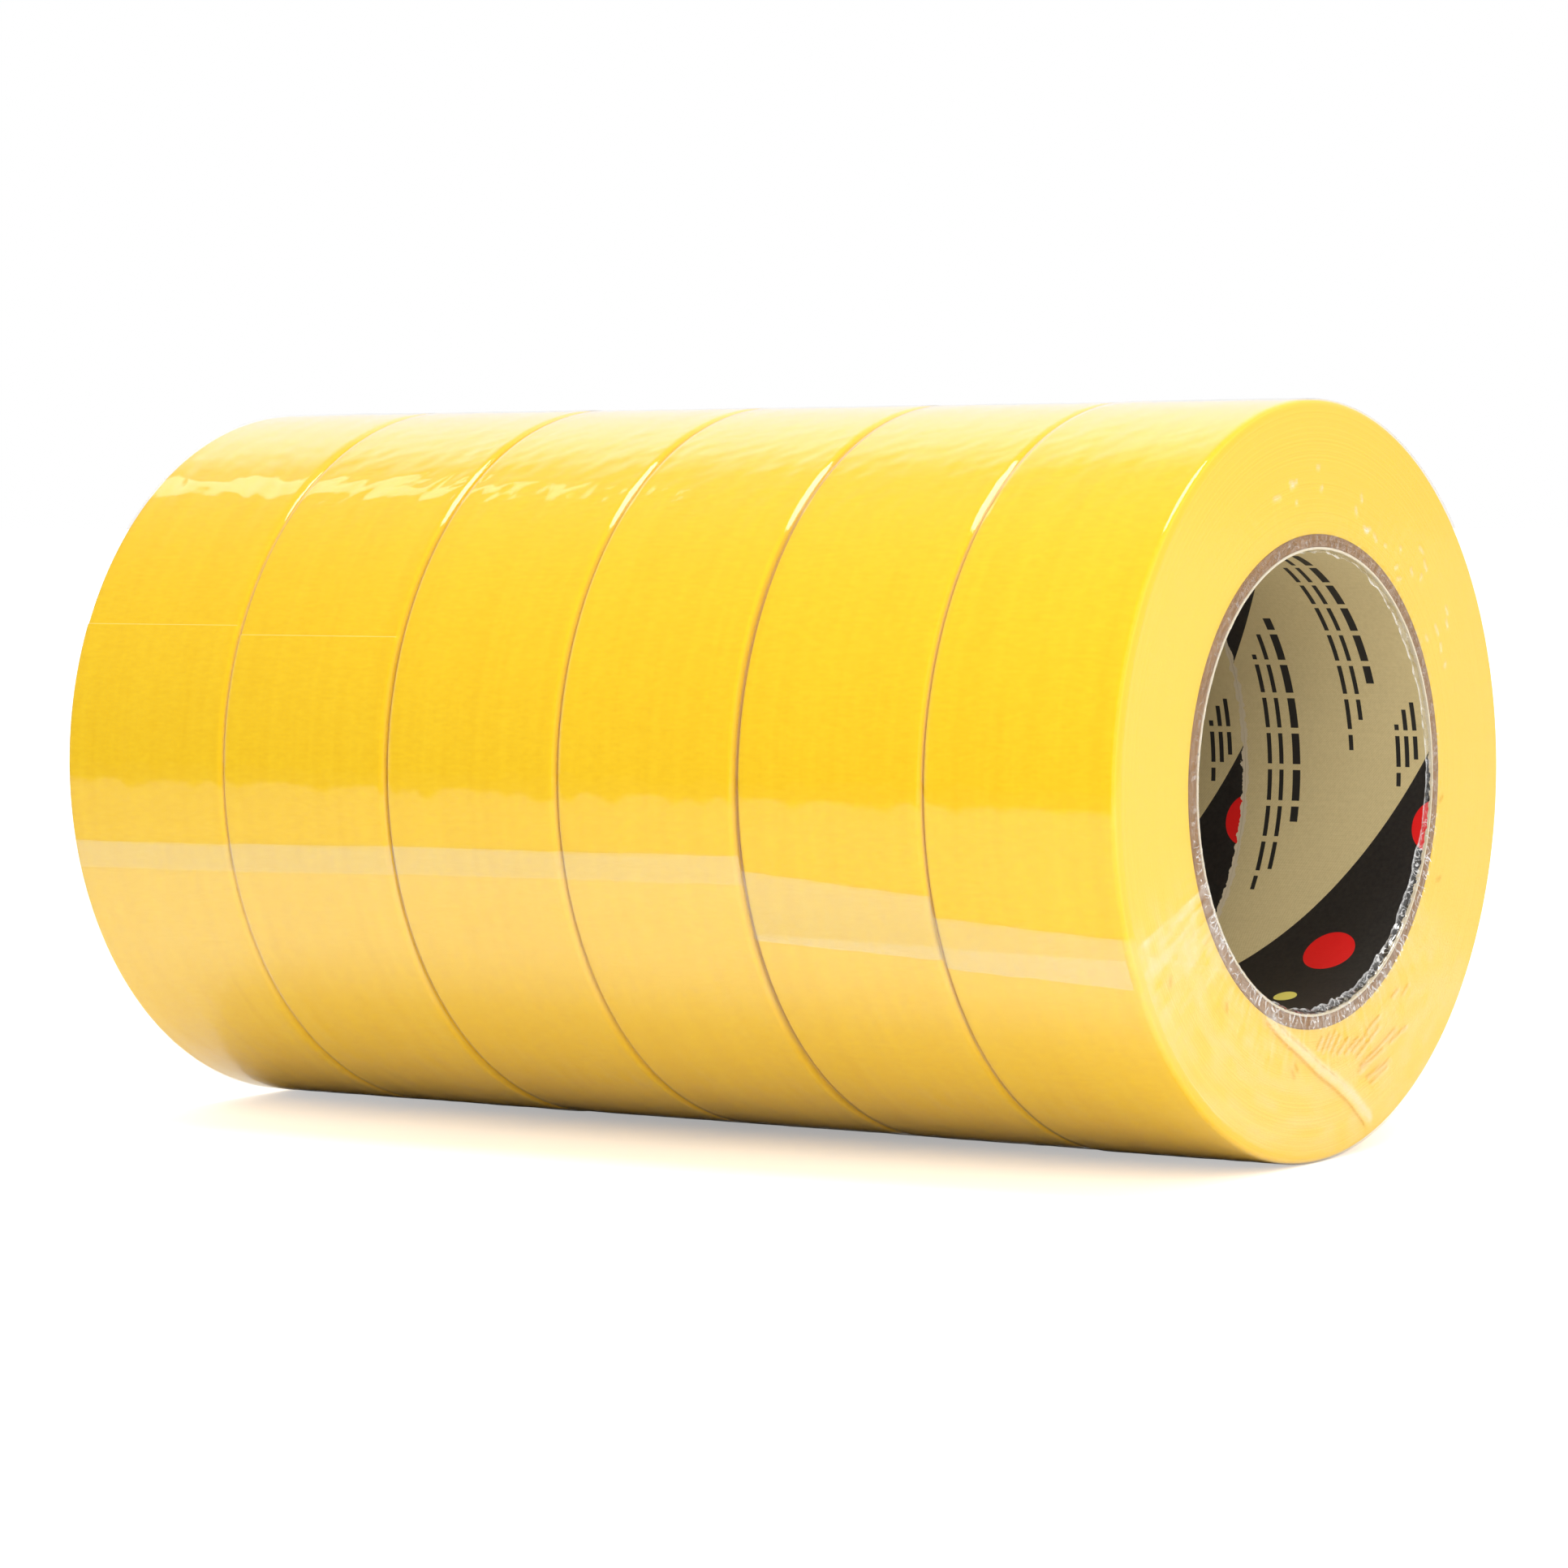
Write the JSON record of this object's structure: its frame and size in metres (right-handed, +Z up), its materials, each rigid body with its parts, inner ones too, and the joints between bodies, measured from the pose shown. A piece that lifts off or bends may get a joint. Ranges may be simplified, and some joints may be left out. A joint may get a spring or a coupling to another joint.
{
  "type": "masking tape roll sleeve",
  "caption": "Shrink-wrapped sleeve of yellow masking tape rolls on printed board cores, lying on its side, with an open bore from end to end.",
  "frame": {"origin": "centre of the bore, half way along the pack", "axes": "+X along the bore towards the last roll, +Z up with the pack lying on its side"},
  "size_m": [0.2202, 0.1258, 0.1258],
  "materials": {
    "tape": "satin crepe paper",
    "core_board": "matte",
    "core_liner": "matte, printed with dark diagonal bands",
    "shrink_film": "clear gloss"
  },
  "bodies": {
    "wrap_1": {"film_band_1": "shrink_film"},
    "roll_1": {"tape_1": "tape", "core_1": "core_board", "core_liner_1": "core_liner"},
    "wrap_2": {"film_band_2": "shrink_film"},
    "roll_2": {"tape_2": "tape", "core_2": "core_board", "core_liner_2": "core_liner"},
    "wrap_3": {"film_band_3": "shrink_film"},
    "roll_3": {"tape_3": "tape", "core_3": "core_board", "core_liner_3": "core_liner"},
    "wrap_4": {"film_band_4": "shrink_film"},
    "roll_4": {"tape_4": "tape", "core_4": "core_board", "core_liner_4": "core_liner"},
    "wrap_5": {"film_band_5": "shrink_film"},
    "roll_5": {"tape_5": "tape", "core_5": "core_board", "core_liner_5": "core_liner"},
    "wrap_6": {"film_band_6": "shrink_film"},
    "roll_6": {"tape_6": "tape", "core_6": "core_board", "core_liner_6": "core_liner"}
  },
  "joints": [
    {"name": "roll_turn_1", "type": "hinge", "parent": "wrap_1", "child": "roll_1", "pos_m": [0, 0, 0], "axis": [1, 0, 0], "continuous": true},
    {"name": "pull_off_2", "type": "slide", "parent": "wrap_1", "child": "wrap_2", "axis": [1, 0, 0], "range_m": [0, 0.04]},
    {"name": "roll_turn_2", "type": "hinge", "parent": "wrap_2", "child": "roll_2", "pos_m": [0, 0, 0], "axis": [1, 0, 0], "continuous": true},
    {"name": "pull_off_3", "type": "slide", "parent": "wrap_2", "child": "wrap_3", "axis": [1, 0, 0], "range_m": [0, 0.04]},
    {"name": "roll_turn_3", "type": "hinge", "parent": "wrap_3", "child": "roll_3", "pos_m": [0, 0, 0], "axis": [1, 0, 0], "continuous": true},
    {"name": "pull_off_4", "type": "slide", "parent": "wrap_3", "child": "wrap_4", "axis": [1, 0, 0], "range_m": [0, 0.04]},
    {"name": "roll_turn_4", "type": "hinge", "parent": "wrap_4", "child": "roll_4", "pos_m": [0, 0, 0], "axis": [1, 0, 0], "continuous": true},
    {"name": "pull_off_5", "type": "slide", "parent": "wrap_4", "child": "wrap_5", "axis": [1, 0, 0], "range_m": [0, 0.04]},
    {"name": "roll_turn_5", "type": "hinge", "parent": "wrap_5", "child": "roll_5", "pos_m": [0, 0, 0], "axis": [1, 0, 0], "continuous": true},
    {"name": "pull_off_6", "type": "slide", "parent": "wrap_5", "child": "wrap_6", "axis": [1, 0, 0], "range_m": [0, 0.04]},
    {"name": "roll_turn_6", "type": "hinge", "parent": "wrap_6", "child": "roll_6", "pos_m": [0, 0, 0], "axis": [1, 0, 0], "continuous": true}
  ]
}
